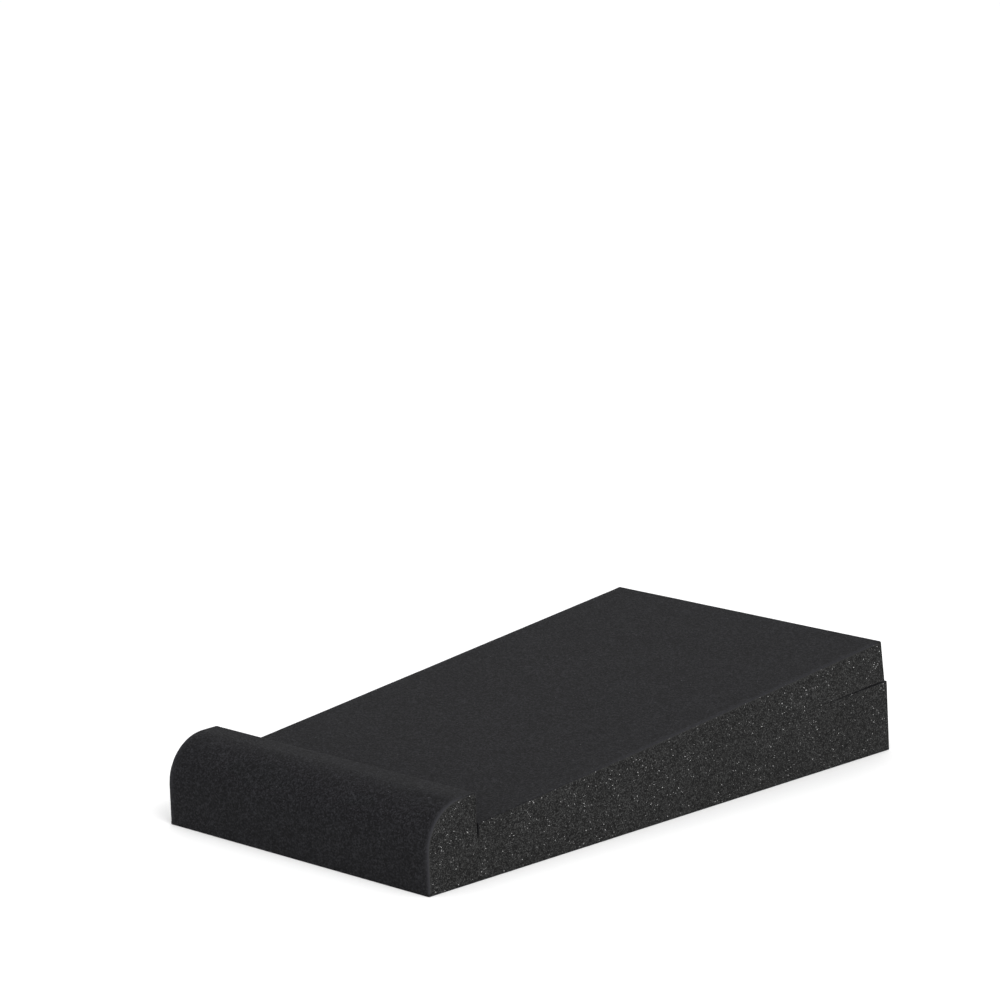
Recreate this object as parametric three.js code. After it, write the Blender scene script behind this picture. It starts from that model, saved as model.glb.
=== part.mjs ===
// Isolation pad for a desktop loudspeaker: a base of open-cell foam with a rounded lip along its front, and
// the loose foam wedge that lies on the base behind that lip. Both are sawn from one block of foam: one cut
// goes straight down behind the lip, and a second one rises gently from its foot to the rear face. The wedge
// between the cuts and the block's top lies here turned end for end, so that what stands on it leans forward.
//
// Millimetres. +X runs across the pad, +Y from the lip to the rear, and +Z is up. The origin is at the centre
// of the underside.

import * as THREE from 'three';

// Driving dimensions
const WIDTH = 200; // across the pad
const DEPTH = 348; // front of the lip to the foot of the rear face
const BLOCK_HEIGHT = 46.8; // the foam block that both pieces come from, and so the lip's height
const LIP_THICKNESS = 35; // front to back
const NOSE_RADIUS = 25; // rounding of the lip's front upper edge
const WEDGE_THICK_END = 23.4; // square to the wedge's upper face
const WEDGE_THIN_END = 7.1; // square to the wedge's upper face
const WEDGE_SHORTFALL = 4.5; // how much shorter the wedge is than the seat behind the lip
const REAR_SETBACK = 1; // the rear face's upper edge lies this far in front of its foot
const EDGE_ROUND = 1.2; // the softened edges of the sawn foam

// Clearances
const SAW_KERF = 0.3; // foam lost to the blade between the base and the wedge
const LIP_CLEARANCE = 0.9; // from the lip to the nearest edge of the wedge
const SEAT_CLEARANCE = 0.3; // from the seat to the wedge's underside

// Fineness of the rounded edges: the most that a chord may lie inside its arc
const CHORD_ERROR = 0.03;

// Sizes that follow from the two saw cuts
const wedgeLength = DEPTH - LIP_THICKNESS - WEDGE_SHORTFALL;
const seatSlope = (WEDGE_THICK_END - WEDGE_THIN_END) / wedgeLength;
const seatAngle = Math.atan(seatSlope);
const seatFrontHeight = BLOCK_HEIGHT - WEDGE_THICK_END - SAW_KERF;
const frontFace = -DEPTH / 2;
const rearFace = DEPTH / 2;
const lipRear = frontFace + LIP_THICKNESS;

function seatHeight(y) {
  return seatFrontHeight + (y - lipRear) * seatSlope;
}

// Points of a rounded corner, from one side to the other. It uses up no more than the shorter of those sides.
function roundedCorner(before, corner, after, radius) {
  const toBefore = before.clone().sub(corner);
  const toAfter = after.clone().sub(corner);
  const halfAngle = Math.acos(toBefore.dot(toAfter) / (toBefore.length() * toAfter.length())) / 2;
  const longest = Math.min(toBefore.length(), toAfter.length());
  const tangent = Math.min(radius / Math.tan(halfAngle), longest);
  const arcRadius = tangent * Math.tan(halfAngle);
  const inward = toBefore.clone().normalize().add(toAfter.clone().normalize()).normalize();
  const centre = corner.clone().addScaledVector(inward, arcRadius / Math.sin(halfAngle));
  const start = corner.clone().addScaledVector(toBefore.normalize(), tangent);
  const end = corner.clone().addScaledVector(toAfter.normalize(), tangent);
  const turn = Math.PI - 2 * halfAngle;
  const steps = Math.ceil(turn / (2 * Math.acos(1 - CHORD_ERROR / arcRadius)));
  const spin = Math.sign(start.clone().sub(centre).cross(end.clone().sub(centre)));
  const points = [];
  for (let i = 0; i <= steps; i += 1) {
    points.push(start.clone().rotateAround(centre, (spin * turn * i) / steps));
  }
  return points;
}

// A section from its corners, each written as [along, up, radius of its rounding, or 0 where it is sharp]
function section(corners) {
  const sharp = corners.map(([along, up]) => new THREE.Vector2(along, up));
  const outline = corners.flatMap(([, , radius], i) => {
    if (radius === 0) {
      return [sharp[i]];
    }
    const before = sharp[(i + corners.length - 1) % corners.length];
    const after = sharp[(i + 1) % corners.length];
    return roundedCorner(before, sharp[i], after, radius);
  });
  return new THREE.Shape(outline);
}

// A bar of that section across the pad's whole width: the section's axes become +Y and +Z
function barAcross(shape) {
  const geometry = new THREE.ExtrudeGeometry(shape, { depth: WIDTH, bevelEnabled: false });
  const along = new THREE.Vector3(0, 1, 0);
  const up = new THREE.Vector3(0, 0, 1);
  const across = new THREE.Vector3(1, 0, 0);
  geometry.translate(0, 0, -WIDTH / 2);
  geometry.applyMatrix4(new THREE.Matrix4().makeBasis(along, up, across));
  return geometry;
}

// Lip and platform in one piece
function basePad() {
  const rearTop = rearFace - REAR_SETBACK;
  const shape = section([
    [frontFace, 0, 0],
    [rearFace, 0, 0],
    [rearTop, seatHeight(rearTop), EDGE_ROUND],
    [lipRear, seatFrontHeight, 0],
    [lipRear, BLOCK_HEIGHT, EDGE_ROUND],
    [frontFace, BLOCK_HEIGHT, NOSE_RADIUS],
  ]);
  const foam = new THREE.MeshStandardMaterial({ color: 0x2b2b2d, roughness: 1, metalness: 0 });
  const mesh = new THREE.Mesh(barAcross(shape), foam);
  mesh.name = 'base_pad';
  return mesh;
}

// The offcut, thin end to the lip. Its section is drawn with the sawn face level, and both of its ends are
// square to its upper face, because they were sawn square to the block.
function wedgeInsert() {
  const cos = Math.cos(seatAngle);
  const sin = Math.sin(seatAngle);
  const sawnLength = wedgeLength / cos;
  const shape = section([
    [0, 0, 0],
    [sawnLength, 0, 0],
    [sawnLength - WEDGE_THICK_END * sin, WEDGE_THICK_END * cos, EDGE_ROUND],
    [-WEDGE_THIN_END * sin, WEDGE_THIN_END * cos, EDGE_ROUND],
  ]);
  const foam = new THREE.MeshStandardMaterial({ color: 0x2e2e2f, roughness: 1, metalness: 0 });
  const mesh = new THREE.Mesh(barAcross(shape), foam);
  mesh.name = 'wedge_insert';
  const foot = lipRear + LIP_CLEARANCE + WEDGE_THIN_END * Math.sin(2 * seatAngle);
  mesh.position.set(0, foot, seatHeight(foot) + SEAT_CLEARANCE / cos);
  mesh.rotation.x = seatAngle;
  return mesh;
}

const pad = new THREE.Group();
pad.add(basePad(), wedgeInsert());

export default pad;
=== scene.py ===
"""Isolation pad of open-cell foam: a base with a rounded lip, and the loose wedge that lies behind the lip.

Metres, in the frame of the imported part: +X across the pad, +Y from the lip to the rear, +Z up.
"""
import math

import bpy
from mathutils import Matrix, Vector, geometry, noise


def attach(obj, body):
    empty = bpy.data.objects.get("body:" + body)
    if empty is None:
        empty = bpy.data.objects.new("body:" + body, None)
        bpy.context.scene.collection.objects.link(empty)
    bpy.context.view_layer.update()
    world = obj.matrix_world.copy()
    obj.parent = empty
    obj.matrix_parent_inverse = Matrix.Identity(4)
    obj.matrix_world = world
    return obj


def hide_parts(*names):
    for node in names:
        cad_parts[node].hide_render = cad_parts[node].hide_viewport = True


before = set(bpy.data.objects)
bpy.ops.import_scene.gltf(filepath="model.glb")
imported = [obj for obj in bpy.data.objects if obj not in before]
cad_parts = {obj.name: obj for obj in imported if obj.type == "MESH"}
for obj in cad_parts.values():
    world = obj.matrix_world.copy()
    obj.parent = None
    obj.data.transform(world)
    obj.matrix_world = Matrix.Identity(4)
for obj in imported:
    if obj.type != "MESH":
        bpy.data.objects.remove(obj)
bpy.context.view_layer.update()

MM = 0.001

# Sizes of the pad
WIDTH = 200 * MM
DEPTH = 348 * MM
BLOCK_HEIGHT = 46.8 * MM
LIP_THICKNESS = 35 * MM
NOSE_RADIUS = 25 * MM
WEDGE_THICK_END = 23.4 * MM
WEDGE_THIN_END = 7.1 * MM
WEDGE_SHORTFALL = 4.5 * MM
REAR_SETBACK = 1 * MM
SAW_KERF = 0.3 * MM
LIP_CLEARANCE = 0.9 * MM
SEAT_CLEARANCE = 0.3 * MM
TOP_ROUND = 1.2 * MM  # upper edges, which handling has softened
GAP_ROUND = TOP_ROUND / 2  # upper edges on both sides of the gap behind the lip
CRISP_ROUND = 0.5 * MM  # edges as the blade left them
WORN_END = 0.9 * MM  # where the surfaces meet the sawn ends, along the edges that are handled
CRISP_END = 0.4 * MM  # the same along the other edges
SEAM_ROUND = 0.04 * MM  # the same where the two pieces touch
SEAM_BAND = 2 * MM  # how far from the seam its sharpness reaches
SLACK = 0.1 * MM  # a point this little in front of the lip's rear face still counts as behind the lip

# How the wedge lies: its thin end spread towards the lip by its own softness, in touch with the seat over
# most of its length, and just clear of it at the rear
THIN_FOOT_SPREAD = 1.0 * MM
THIN_TOP_SPREAD = 0.25 * MM
SETTLED = 0.27 * MM
LIFT_START = 118 * MM
LIFT_END = 165 * MM

# Fineness of the meshes
GRID = 1.6 * MM  # spacing of points on surfaces that show
HIDDEN_GRID = 3.4 * MM  # spacing on the underside and between the two pieces
END_GRID = 2.0 * MM  # spacing on the sawn ends
EDGE_LINE = 1.0 * MM  # from the outline of an end to the first row of points in it
EDGE_SHARE = 0.95  # how much of that distance a point of the row has to keep from the whole outline
MERGE_DISTANCE = 1e-7  # points closer than this become one
CHORD_ERROR = 0.01 * MM  # the most that a chord may lie inside its arc
CORNER_STEPS = 3  # the fewest chords around a corner
LEAST_STRETCH = 0.5  # keeps points beside a sharp corner from running off when they move inwards
ROUND_STEPS = 5  # across the softened edge of an end
PALE_STEPS = 5  # from there to where the painted highlight of the edge ends

# Painted highlight along the worn edges of the ends, for the light that those edges catch
PALE_REACH = 6 * MM  # how far it reaches across the pad
LEFT_FADE = 3  # power at which it fades on the left
RIGHT_FADE = 5  # the same on the right, where it stays closer to the edge
WEDGE_WEAR_AND_HIGHLIGHT = 0.7  # how worn the wedge is next to the lip, which sets the rounding of its ends and their painted highlight
REAR_FADE = 6 * MM  # over which the wear and its painted highlight end in front of the wedge's rear edge

# Unevenness of sawn foam
WAVE_DEPTH = 0.12 * MM
WAVE_LENGTH = 38 * MM
RIPPLE_DEPTH = 0.05 * MM
RIPPLE_LENGTH = 6 * MM
FRAY_DEPTH = 0.14 * MM
FRAY_LENGTH = 2.8 * MM
RIPPLE_SHIFT = Vector((7, 0, 0))  # to another place in the noise than the waves have
FRAY_SHIFT = Vector((0, 9, 0))
FOOT = 2 * MM  # height within which the underside stays flat and its edges get no painted highlight

# Bubbles in the foam
SAWN_BUBBLE = 0.45 * MM
SHAPED_BUBBLE = 0.72 * MM
WIDE_BUBBLE = 1.7 * MM
PIT_DEPTH = 0.25 * MM
CLUSTER_LENGTH = 9 * MM
MOTTLE_LENGTH = 22 * MM

# Shading of the foam. Pairs of tones are shares of the tint
BUBBLE_EDGE = 0.6  # from the middle of a bubble to its edge, as a share of its size
PAINTED_PIT_SHADE_TONES = (0.85, 1.15)  # painted shade in each bubble's pit: darkest at its middle, lightest at its edge
WIDE_TONES = (0.92, 1.08)  # from one wide bubble to another
MOTTLE_TONES = (0.95, 1.05)
CLOUD_BAND = (0.35, 0.65)  # the noise values over which clouds come in
GLINT_DOT = (0.25, 0.55)  # where a glint starts to fade and where it ends, as shares of its bubble's size
GLINT_POWER = 4.0  # the higher it is, the fewer of the glints are strong
SPARSE = 1 / 3  # where glints are fewest, as a factor on their share of the bubbles
DENSE = 2  # the same where they are most
FINE_HEIGHT = 0.6  # share of the pits' depth that the bubbles have
WIDE_HEIGHT = 0.4  # share that the wide bubbles have
BUMP_STRENGTH = 0.6
FOAM_SURFACE = {"Roughness": 0.9, "Specular IOR Level": 0.06, "Sheen Weight": 0.02, "Sheen Roughness": 0.5}

# Camera, found from the straight edges in the photograph
CAMERA_AT = Vector((1.78928, -1.72863, 0.72436))
CAMERA_AZIMUTH = math.radians(46.32)
CAMERA_ELEVATION = math.radians(12.80)
CAMERA_ROLL = math.radians(-1.98)
CAMERA_LENS = 172.43
CAMERA_SENSOR = 36.0

# Studio
BACKGROUND = 1.12  # strength of the white all round
KEY_AT = (1.8, -0.5, 1.9)
KEY_SIZE = 1.4
KEY_WATTS = 32
FILL_AT = (0.6, -1.7, 0.9)
FILL_SIZE = 1.2
FILL_WATTS = 2.5
FLOOR_REACH = 12.0
FLOOR_PALENESS = 0.9
FLOOR_ROUGHNESS = 0.8

# What follows from the two saw cuts
WEDGE_LENGTH = DEPTH - LIP_THICKNESS - WEDGE_SHORTFALL
SEAT_SLOPE = (WEDGE_THICK_END - WEDGE_THIN_END) / WEDGE_LENGTH
SEAT_ANGLE = math.atan(SEAT_SLOPE)
SEAT_FRONT_HEIGHT = BLOCK_HEIGHT - WEDGE_THICK_END - SAW_KERF
FRONT_FACE = -DEPTH / 2
REAR_FACE = DEPTH / 2
LIP_REAR = FRONT_FACE + LIP_THICKNESS


def seat_height(y):
    """Height of the sloping seat at y."""
    return SEAT_FRONT_HEIGHT + (y - LIP_REAR) * SEAT_SLOPE


def smooth(low, high, value):
    """0 up to low, 1 from high on, and a smooth rise between them."""
    t = min(1.0, max(0.0, (value - low) / (high - low)))
    return t * t * (3 - 2 * t)


# Outlines

def rounded_corner(before, corner, after, radius):
    """Points of a rounded corner, from the side of before to the side of after. It uses up no more than the
    shorter of those sides."""
    to_before = before - corner
    to_after = after - corner
    half = to_before.angle(to_after) / 2
    tangent = min(radius / math.tan(half), to_before.length, to_after.length)
    arc = tangent * math.tan(half)
    inward = (to_before.normalized() + to_after.normalized()).normalized()
    centre = corner + inward * (arc / math.sin(half))
    start = corner + to_before.normalized() * tangent - centre
    end = corner + to_after.normalized() * tangent - centre
    turn = math.pi - 2 * half
    chords = turn / (2 * math.acos(1 - CHORD_ERROR / arc))
    steps = math.ceil(max(chords, turn * arc / GRID, CORNER_STEPS))
    spin = math.copysign(turn, start.x * end.y - start.y * end.x)
    return [centre + Matrix.Rotation(spin * i / steps, 2) @ start for i in range(steps + 1)]


def outline(corners):
    """Closed outline from corners (along, up, radius, spacing on the side that follows), anticlockwise."""
    count = len(corners)
    sharp = [Vector((along, up)) for along, up, _, _ in corners]
    arcs = []
    for i, (_, _, radius, _) in enumerate(corners):
        arcs.append(rounded_corner(sharp[i - 1], sharp[i], sharp[(i + 1) % count], radius))
    points = []
    for i, arc in enumerate(arcs):
        run = arcs[(i + 1) % count][0] - arc[-1]
        steps = max(1, round(run.length / corners[i][3]))
        points += arc[:-1]
        points += [arc[-1] + run * k / steps for k in range(steps)]
    return points


def inset(points, distances):
    """The outline with each point moved inwards by its own distance."""
    moved = []
    for i, point in enumerate(points):
        before = (point - points[i - 1]).normalized()
        after = (points[(i + 1) % len(points)] - point).normalized()
        inward = Vector((-before.y - after.y, before.x + after.x)).normalized()
        stretch = max(LEAST_STRETCH, inward.dot(Vector((-after.y, after.x))))
        moved.append(point + inward * distances[i] / stretch)
    return moved


def inside(point, ring):
    """Whether a ray from the point along +x crosses the ring an odd number of times."""
    odd = False
    for i, a in enumerate(ring):
        b = ring[i - 1]
        if (a.y > point.y) != (b.y > point.y):
            if point.x < a.x + (b.x - a.x) * (point.y - a.y) / (b.y - a.y):
                odd = not odd
    return odd


def distance_to(point, ring):
    """Distance from a point to the nearest side of a ring."""
    nearest = math.inf
    for i, a in enumerate(ring):
        side = ring[i - 1] - a
        share = min(1.0, max(0.0, (point - a).dot(side) / side.length_squared))
        nearest = min(nearest, (a + side * share - point).length)
    return nearest


# Meshes

def points_in(ring):
    """Points inside a ring: a row along its edge, and a staggered grid within that."""
    count = len(ring)
    row = inset(ring, [EDGE_LINE] * count)
    found = [p for p in row if inside(p, ring) and distance_to(p, ring) > EDGE_SHARE * EDGE_LINE]
    margin = inset(ring, [EDGE_LINE + END_GRID / 2] * count)
    low = Vector((min(p.x for p in ring), min(p.y for p in ring)))
    high = Vector((max(p.x for p in ring), max(p.y for p in ring)))
    row_height = END_GRID * math.sqrt(3) / 2
    for i in range(int((high.y - low.y) / row_height) + 1):
        for k in range(int((high.x - low.x) / END_GRID) + 1):
            point = low + Vector(((k + i % 2 / 2) * END_GRID, i * row_height))
            if inside(point, margin):
                found.append(point)
    return found


def triangles_in(ring, inner):
    """Triangles that fill a ring, as indices into its own points and then the inner ones."""
    edges = [(i, (i + 1) % len(ring)) for i in range(len(ring))]
    inside_only = 1
    filled = geometry.delaunay_2d_cdt(ring + inner, edges, [], inside_only, MERGE_DISTANCE)
    _, _, faces, source, _, _ = filled
    return [tuple(source[v][0] for v in face) for face in faces]


def stations():
    """Places across the pad, from left to right. Each has its share of the rounding of an end, which is 1 at
    the end itself, and its paleness, a painted highlight that reaches further."""
    depths = []
    for i in range(ROUND_STEPS + 1):
        angle = math.pi / 2 * i / ROUND_STEPS
        depths.append((WORN_END * (1 - math.cos(angle)), 1 - math.sin(angle)))
    span = PALE_REACH - WORN_END
    depths += [(WORN_END + span * i / PALE_STEPS, 0.0) for i in range(1, PALE_STEPS + 1)]
    left = [(d - WIDTH / 2, drawn, (1 - d / PALE_REACH) ** LEFT_FADE) for d, drawn in depths]
    right = [(WIDTH / 2 - d, drawn, (1 - d / PALE_REACH) ** RIGHT_FADE) for d, drawn in reversed(depths)]
    rest = WIDTH - 2 * PALE_REACH
    steps = math.ceil(rest / GRID)
    middle = [(PALE_REACH - WIDTH / 2 + rest * i / steps, 0.0, 0.0) for i in range(1, steps)]
    return left + middle + right


def end_round(wear_and_highlight, touch):
    """How far a surface is rounded off where it meets a sawn end."""
    return CRISP_END + (WORN_END - CRISP_END) * wear_and_highlight + (SEAM_ROUND - CRISP_END) * touch


class Bar:
    """A closed bar of one section across the pad. place carries (along, up) to (y, z). near says how close a
    point of the section is to the seam, from 0 to 1 on it, and the last argument says how much use a point
    gets, from 0 to 1, which sets how far its ends are rounded and how strong a highlight is painted along
    them."""

    def __init__(self, section, place, near, wear_and_highlight):
        self.section = section
        self.place = place
        self.touches = [near(p) * (1 - lifted(place(p)[0])) for p in section]
        self.wear_and_highlight = [wear_and_highlight(p) * (1 - near(p)) * smooth(0, FOOT, place(p)[1]) for p in section]
        self.radii = [end_round(w, t) for w, t in zip(self.wear_and_highlight, self.touches)]
        self.verts = []
        self.pale = []
        self.held = []
        self.faces = []
        rings = self.wrap()
        self.wrapped = len(self.faces)
        inner = points_in(inset(section, self.radii))
        triangles = triangles_in(inset(section, self.radii), inner)
        self.close(-1, rings[0], inner, triangles)
        self.close(1, rings[-1], inner, triangles)

    def add_points(self, x, points, pale, touches):
        """Points of one station, each with how pale its painted highlight makes it and how far it is held in
        its place.
        """
        first = len(self.verts)
        places = [Vector((x, *self.place(p))) for p in points]
        self.verts += places
        self.pale += pale
        self.held += [max(touch, 1 - smooth(0, FOOT, at.z)) for at, touch in zip(places, touches)]
        return first

    def wrap(self):
        """The long surfaces. Gives the first point of the ring at each station."""
        rings = []
        for x, drawn, pale in stations():
            ring = inset(self.section, [r * drawn for r in self.radii])
            # each point's painted highlight: how worn it is, times the paleness of its station
            rings.append(self.add_points(x, ring, [w * pale for w in self.wear_and_highlight], self.touches))
        count = len(self.section)
        for near, far in zip(rings, rings[1:]):
            for i in range(count):
                j = (i + 1) % count
                self.faces.append((near + i, near + j, far + j, far + i))
        return rings

    def close(self, side, ring, inner, triangles):
        """One sawn end: side is -1 on the left and 1 on the right, and ring is its first point."""
        count = len(self.section)
        none = [0.0] * len(inner)
        offset = self.add_points(side * WIDTH / 2, inner, none, none) - count
        for triangle in triangles:
            face = tuple(v + (ring if v < count else offset) for v in triangle)
            self.faces.append(face if side > 0 else face[::-1])

    def make(self, name):
        """The finished piece, with its first material on the long surfaces and its second on the ends."""
        mesh = bpy.data.meshes.new(name)
        mesh.from_pydata(self.verts, [], self.faces)
        # the painted highlight along the worn edges, which the foam materials read
        attribute = mesh.attributes.new("painted_edge_highlight", "FLOAT", "POINT")
        attribute.data.foreach_set("value", self.pale)
        for polygon in mesh.polygons:
            polygon.use_smooth = True
            polygon.material_index = int(polygon.index >= self.wrapped)
        unsettle(mesh, self.pale, self.held)
        piece = bpy.data.objects.new(name, mesh)
        bpy.context.collection.objects.link(piece)
        return piece


def unsettle(mesh, pale, held):
    """Moves points inwards a little, as the blade and use leave foam: long waves, ripples, frayed edges.
    Points held in their place only move across the pad."""
    moves = []
    for vertex, edge, hold in zip(mesh.vertices, pale, held):
        at = vertex.co
        depth = WAVE_DEPTH * (0.5 + 0.5 * noise.noise(at / WAVE_LENGTH))
        depth += RIPPLE_DEPTH * (0.5 + 0.5 * noise.noise(at / RIPPLE_LENGTH + RIPPLE_SHIFT))
        depth += edge * FRAY_DEPTH * max(0.0, noise.noise(at / FRAY_LENGTH + FRAY_SHIFT))
        move = vertex.normal * depth
        move.yz *= 1 - hold
        moves.append(move)
    for vertex, move in zip(mesh.vertices, moves):
        vertex.co -= move
    mesh.update()


# Pieces

def base_section():
    """Lip and platform, where they stand."""
    rear_top = REAR_FACE - REAR_SETBACK
    return outline([
        (FRONT_FACE, 0, CRISP_ROUND, HIDDEN_GRID),
        (REAR_FACE, 0, CRISP_ROUND, GRID),
        (rear_top, seat_height(rear_top), CRISP_ROUND, HIDDEN_GRID),
        (LIP_REAR, SEAT_FRONT_HEIGHT, CRISP_ROUND, GRID),
        (LIP_REAR, BLOCK_HEIGHT, GAP_ROUND, GRID),
        (FRONT_FACE, BLOCK_HEIGHT, NOSE_RADIUS, GRID),
    ])


def wedge_section():
    """The wedge with its sawn face level, and its thin end at the origin."""
    cos, sin = math.cos(SEAT_ANGLE), math.sin(SEAT_ANGLE)
    sawn_length = WEDGE_LENGTH / cos
    return outline([
        (-THIN_FOOT_SPREAD, 0, CRISP_ROUND, HIDDEN_GRID),
        (sawn_length, 0, CRISP_ROUND, GRID),
        (sawn_length - WEDGE_THICK_END * sin, WEDGE_THICK_END * cos, TOP_ROUND, GRID),
        (-WEDGE_THIN_END * sin - THIN_TOP_SPREAD, WEDGE_THIN_END * cos, GAP_ROUND, GRID),
    ])


def lifted(y):
    """0 where the two pieces touch, 1 where they lie apart."""
    return smooth(LIFT_START, LIFT_END, y)


def base_near(p):
    """1 on the seat, and 0 away from it and on the lip."""
    if p.x < LIP_REAR - SLACK:
        return 0.0
    return 1 - smooth(0, SEAM_BAND, abs(p.y - seat_height(p.x)))


def wedge_near(p):
    """1 on the sawn face, and 0 away from it."""
    return 1 - smooth(0, SEAM_BAND, p.y)


def base_wear_and_highlight(p):
    """How worn the lip's front and top are, fading towards its rear edge. This rounds the ends there and sets
    the highlight painted along them.
    """
    return 1 - smooth(LIP_REAR - LIP_THICKNESS / 2, LIP_REAR, p.x)


def wedge_wear_and_highlight(p):
    """How worn the upper face is, except near its thin end and its rear edge. This rounds the ends there and
    sets the highlight painted along them.
    """
    rear = WEDGE_LENGTH - WEDGE_THICK_END * SEAT_SLOPE
    in_front = 1 - smooth(rear - REAR_FADE, rear, p.x)
    return WEDGE_WEAR_AND_HIGHLIGHT * smooth(WEDGE_THIN_END, 2 * WEDGE_THIN_END, p.y) * in_front


def as_drawn(p):
    """The base's section lies where it was drawn."""
    return p.x, p.y


def on_the_seat(p):
    """The wedge's own (along, up) carried to where it lies."""
    cos, sin = math.cos(SEAT_ANGLE), math.sin(SEAT_ANGLE)
    foot = LIP_REAR + LIP_CLEARANCE + WEDGE_THIN_END * math.sin(2 * SEAT_ANGLE)
    y = foot + p.x * cos - p.y * sin
    thickness = WEDGE_THIN_END + p.x * SEAT_SLOPE
    sunk = SETTLED * (1 - lifted(y)) * max(0.0, 1 - p.y / thickness)
    return y, seat_height(foot) + SEAT_CLEARANCE / cos - sunk + p.x * sin + p.y * cos


def dress(piece, node, materials):
    """Puts a piece of soft foam in the place of a node of the frame."""
    for material in materials:
        piece.data.materials.append(material)
    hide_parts(node)
    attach(piece, "root")


# Materials

def new_material(name):
    """A material with one shader: itself, its node tree and that shader."""
    material = bpy.data.materials.new(name)
    material.use_nodes = True
    tree = material.node_tree
    tree.nodes.clear()
    output = tree.nodes.new("ShaderNodeOutputMaterial")
    shader = tree.nodes.new("ShaderNodeBsdfPrincipled")
    tree.links.new(shader.outputs["BSDF"], output.inputs["Surface"])
    return material, tree, shader


def add(tree, kind, inputs, **settings):
    """A shader node of one kind. Each input is a value, or the output that is joined to it."""
    made = tree.nodes.new("ShaderNode" + kind)
    for key, value in settings.items():
        setattr(made, key, value)
    for key, value in inputs.items():
        if isinstance(value, bpy.types.NodeSocket):
            tree.links.new(value, made.inputs[key])
        else:
            made.inputs[key].default_value = value
    return made


def calc(tree, operation, a, b):
    """The result of one operation on two values."""
    return add(tree, "Math", {0: a, 1: b}, operation=operation).outputs[0]


def between(tree, share, start, end):
    """Start where share is 0, end where it is 1."""
    inputs = {"Value": share, "To Min": start, "To Max": end}
    return add(tree, "MapRange", inputs).outputs["Result"]


def ease(tree, value, low, high, start, end):
    """Value carried smoothly from the range low to high onto the range start to end."""
    inputs = {"Value": value, "From Min": low, "From Max": high, "To Min": start, "To Max": end}
    return add(tree, "MapRange", inputs, interpolation_type="SMOOTHSTEP").outputs["Result"]


def bubbles(tree, place, size):
    """Bubbles of about one size: the way out from each one's middle, and two chances for each bubble."""
    cells = add(tree, "TexVoronoi", {"Vector": place, "Scale": 1 / size, "Randomness": 1.0})
    chances = add(tree, "SeparateColor", {"Color": cells.outputs["Color"]})
    return cells.outputs["Distance"], chances.outputs["Red"], chances.outputs["Green"]


def clouds(tree, place, length, low, high):
    """Slow changes between low and high."""
    inputs = {"Vector": place, "Scale": 1 / length, "Detail": 2.0, "Roughness": 0.5}
    return ease(tree, add(tree, "TexNoise", inputs).outputs["Fac"], *CLOUD_BAND, low, high)


def glints(tree, place, out, chance, share, strength):
    """Painted glints, for broken skins that catch the light: a bright dot painted in the middle of a share of
    the bubbles. Most are weak and few are strong, and some places have more of them."""
    least = clouds(tree, place, CLUSTER_LENGTH, 1 - share * SPARSE, 1 - share * DENSE)
    rank = add(tree, "MapRange", {"Value": chance, "From Min": least, "From Max": 1.0}).outputs["Result"]
    lit = calc(tree, "MULTIPLY", calc(tree, "POWER", rank, GLINT_POWER), strength)
    return calc(tree, "MULTIPLY", lit, ease(tree, out, *GLINT_DOT, 1.0, 0.0))


def foam(name, tint, bubble, tones, skew, glint_share, glint_strength, painted_highlight_tone):
    """Open-cell foam. tones are those of the darkest and the palest bubble, and skew makes pale ones rare.
    The last argument is the tone of the highlight painted along the worn edges of the ends."""
    material, tree, shader = new_material(name)
    place = add(tree, "TexCoord", {}).outputs["Object"]
    out, chance, second = bubbles(tree, place, bubble)
    wide_out, wide_chance, _ = bubbles(tree, place, WIDE_BUBBLE)
    tone = between(tree, calc(tree, "POWER", chance, skew), *tones)
    # painted shade in the pits: darker towards the middle of each bubble
    tone = calc(tree, "MULTIPLY", tone, ease(tree, out, 0.0, BUBBLE_EDGE, *PAINTED_PIT_SHADE_TONES))
    tone = calc(tree, "MULTIPLY", tone, ease(tree, wide_chance, 0.0, 1.0, *WIDE_TONES))
    tone = calc(tree, "MULTIPLY", tone, clouds(tree, place, MOTTLE_LENGTH, *MOTTLE_TONES))
    # painted glints: highlights added to the colour of the bubbles
    tone = calc(tree, "ADD", tone, glints(tree, place, out, second, glint_share, glint_strength))
    # a highlight painted along the worn edges of the ends, for the light that they catch
    wear_and_highlight = add(tree, "Attribute", {}, attribute_name="painted_edge_highlight").outputs["Fac"]
    tone = between(tree, wear_and_highlight, tone, painted_highlight_tone)
    colour = add(tree, "VectorMath", {0: tint, "Scale": tone}, operation="SCALE").outputs["Vector"]
    tree.links.new(colour, shader.inputs["Base Color"])
    fine = ease(tree, out, 0.0, BUBBLE_EDGE, 0.0, FINE_HEIGHT)
    wide = ease(tree, wide_out, 0.0, BUBBLE_EDGE, 0.0, WIDE_HEIGHT)
    height = calc(tree, "ADD", fine, wide)
    bump = add(tree, "Bump", {"Strength": BUMP_STRENGTH, "Distance": PIT_DEPTH, "Height": height})
    tree.links.new(bump.outputs["Normal"], shader.inputs["Normal"])
    for socket, value in FOAM_SURFACE.items():
        shader.inputs[socket].default_value = value
    return material


def sawn_foam():
    """The two ends, where the blade has opened the bubbles."""
    tint = (0.0142, 0.0142, 0.0141)
    return foam("foam_sawn", tint, SAWN_BUBBLE, tones=(0.3, 3.2), skew=2.5,
                glint_share=0.027, glint_strength=75.0, painted_highlight_tone=2.0)


def shaped_foam():
    """The long surfaces, which are closer and darker."""
    tint = (0.0085, 0.0085, 0.0096)
    return foam("foam_shaped", tint, SHAPED_BUBBLE, tones=(0.5, 1.95), skew=2.0,
                glint_share=0.004, glint_strength=10.0, painted_highlight_tone=3.35)


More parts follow.
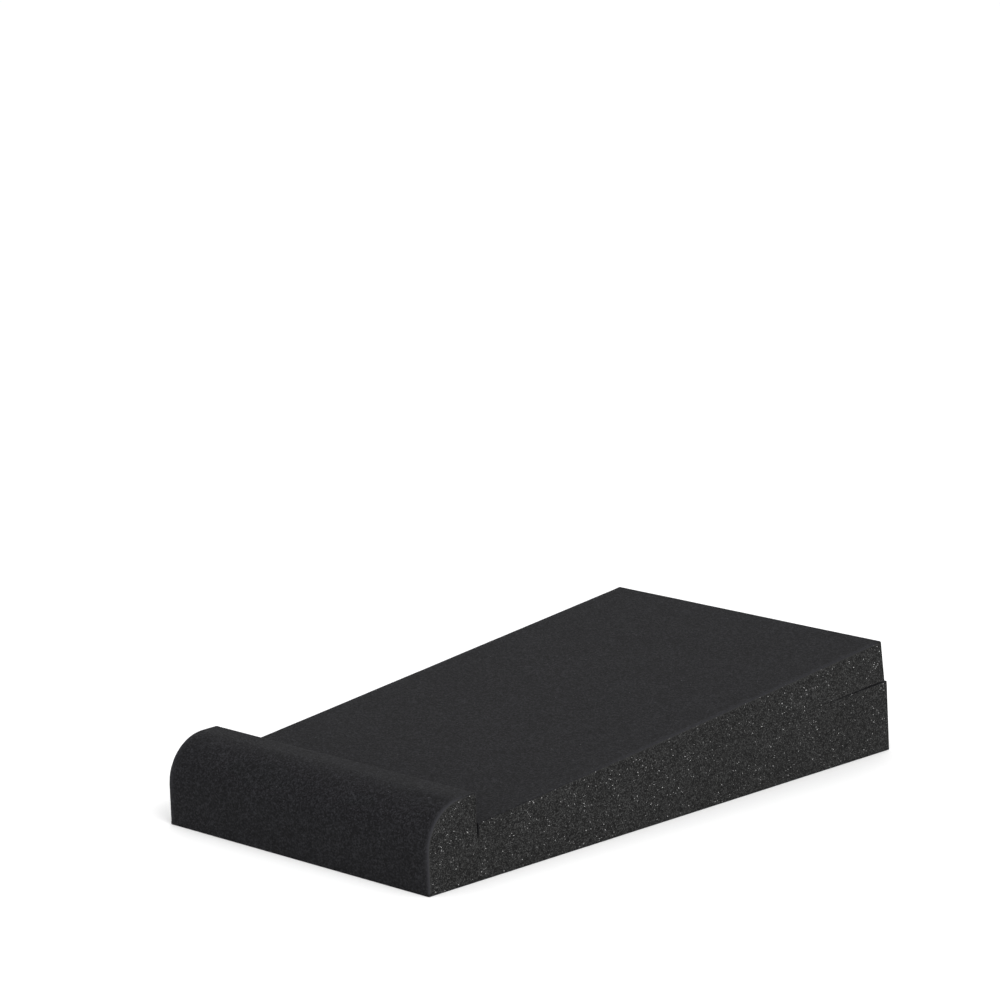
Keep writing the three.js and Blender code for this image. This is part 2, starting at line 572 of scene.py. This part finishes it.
def plain_floor():
    material, _, shader = new_material("pale_floor")
    shader.inputs["Base Color"].default_value = (FLOOR_PALENESS, FLOOR_PALENESS, FLOOR_PALENESS, 1)
    shader.inputs["Roughness"].default_value = FLOOR_ROUGHNESS
    return material


# Stage

def floor():
    mesh = bpy.data.meshes.new("floor")
    signs = ((-1, -1), (1, -1), (1, 1), (-1, 1))
    corners = [(x * FLOOR_REACH, y * FLOOR_REACH, 0) for x, y in signs]
    mesh.from_pydata(corners, [], [(0, 1, 2, 3)])
    mesh.materials.append(plain_floor())
    made = bpy.data.objects.new("floor", mesh)
    bpy.context.collection.objects.link(made)


def area_light(name, place, size, watts):
    """A square soft light that faces the origin."""
    lamp = bpy.data.lights.new(name, "AREA")
    lamp.shape = "SQUARE"
    lamp.size = size
    lamp.energy = watts
    made = bpy.data.objects.new(name, lamp)
    bpy.context.collection.objects.link(made)
    made.location = place
    made.rotation_euler = (-Vector(place)).to_track_quat("-Z", "Y").to_euler()


def studio():
    """White all round, and two soft lights from the right and the front."""
    world = bpy.data.worlds.new("studio")
    world.use_nodes = True
    background = world.node_tree.nodes["Background"]
    background.inputs["Color"].default_value = (1, 1, 1, 1)
    background.inputs["Strength"].default_value = BACKGROUND
    bpy.context.scene.world = world
    area_light("key", KEY_AT, KEY_SIZE, KEY_WATTS)
    area_light("fill", FILL_AT, FILL_SIZE, FILL_WATTS)
    bpy.context.scene.view_settings.view_transform = "Standard"


def camera():
    """Looks along the direction from which the photograph was taken, with its slight roll."""
    data = bpy.data.cameras.new("camera")
    data.sensor_width = CAMERA_SENSOR
    data.lens = CAMERA_LENS
    made = bpy.data.objects.new("camera", data)
    bpy.context.collection.objects.link(made)
    cos_e, sin_e = math.cos(CAMERA_ELEVATION), math.sin(CAMERA_ELEVATION)
    back = Vector((math.sin(CAMERA_AZIMUTH) * cos_e, -math.cos(CAMERA_AZIMUTH) * cos_e, sin_e))
    right = Vector((math.cos(CAMERA_AZIMUTH), math.sin(CAMERA_AZIMUTH), 0))
    up = back.cross(right)
    cos_r, sin_r = math.cos(CAMERA_ROLL), math.sin(CAMERA_ROLL)
    rolled_right = right * cos_r + up * sin_r
    rolled_up = up * cos_r - right * sin_r
    rotation = Matrix((rolled_right, rolled_up, back)).transposed()
    made.matrix_world = Matrix.Translation(CAMERA_AT) @ rotation.to_4x4()
    bpy.context.scene.camera = made


foams = (shaped_foam(), sawn_foam())
dress(Bar(base_section(), as_drawn, base_near, base_wear_and_highlight).make("base_foam"), "base_pad", foams)
dress(Bar(wedge_section(), on_the_seat, wedge_near, wedge_wear_and_highlight).make("wedge_foam"), "wedge_insert", foams)
floor()
studio()
camera()
